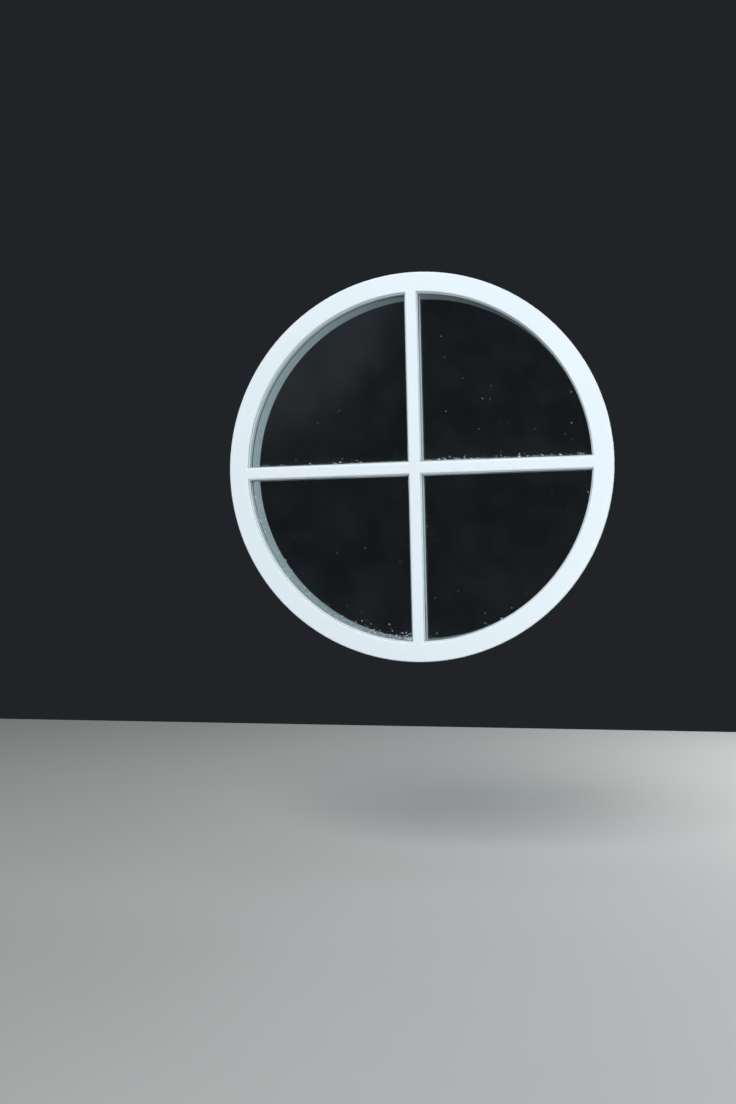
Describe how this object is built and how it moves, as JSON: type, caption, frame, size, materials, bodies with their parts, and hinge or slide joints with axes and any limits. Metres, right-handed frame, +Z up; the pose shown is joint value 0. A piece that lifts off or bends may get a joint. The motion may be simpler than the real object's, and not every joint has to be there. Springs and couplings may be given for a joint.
{
  "type": "round window",
  "caption": "Fixed round window: a flat-faced ring crossed by slim flush bars, with double-glazed quarter panes held from the room side by screwed beads.",
  "frame": {"origin": "centre of the ring, halfway through its depth", "axes": "+X right as seen from outside, +Y from outside into the building, +Z up"},
  "size_m": [0.85, 0.09, 0.85],
  "materials": {
    "frame": "white powder coat on steel, satin, faint orange peel",
    "bead": "white powder coat, satin",
    "glass": "clear float glass, faintly green",
    "sealant": "tooled pale grey sealant, matt",
    "strip": "closed-cell strip, matt black",
    "edge_seal": "cured sealing compound, black",
    "spacer": "foam spacer strip, grey",
    "packer": "moulded packer, matt",
    "screw": "plain stainless steel"
  },
  "bodies": {
    "root": {"ring": "frame", "vertical_bar": "frame", "left_bar": "frame", "right_bar": "frame", "upper_right_outer_pane": "glass", "upper_right_inner_pane": "glass", "upper_right_edge_seal": "edge_seal", "upper_right_spacer": "spacer", "upper_right_glazing_tape": "strip", "upper_right_gasket": "strip", "upper_right_sealant": "sealant", "upper_right_rim_bead": "bead", "upper_right_long_bead": "bead", "upper_right_short_bead": "bead", "upper_right_setting_blocks": "packer", "lower_right_outer_pane": "glass", "lower_right_inner_pane": "glass", "lower_right_edge_seal": "edge_seal", "lower_right_spacer": "spacer", "lower_right_glazing_tape": "strip", "lower_right_gasket": "strip", "lower_right_sealant": "sealant", "lower_right_rim_bead": "bead", "lower_right_long_bead": "bead", "lower_right_short_bead": "bead", "lower_right_setting_blocks": "packer", "lower_left_outer_pane": "glass", "lower_left_inner_pane": "glass", "lower_left_edge_seal": "edge_seal", "lower_left_spacer": "spacer", "lower_left_glazing_tape": "strip", "lower_left_gasket": "strip", "lower_left_sealant": "sealant", "lower_left_rim_bead": "bead", "lower_left_long_bead": "bead", "lower_left_short_bead": "bead", "lower_left_setting_blocks": "packer", "upper_left_outer_pane": "glass", "upper_left_inner_pane": "glass", "upper_left_edge_seal": "edge_seal", "upper_left_spacer": "spacer", "upper_left_glazing_tape": "strip", "upper_left_gasket": "strip", "upper_left_sealant": "sealant", "upper_left_rim_bead": "bead", "upper_left_long_bead": "bead", "upper_left_short_bead": "bead", "upper_left_setting_blocks": "packer", "rim_bead_screws": "screw", "long_bead_screws": "screw", "short_bead_screws": "screw"}
  },
  "joints": []
}
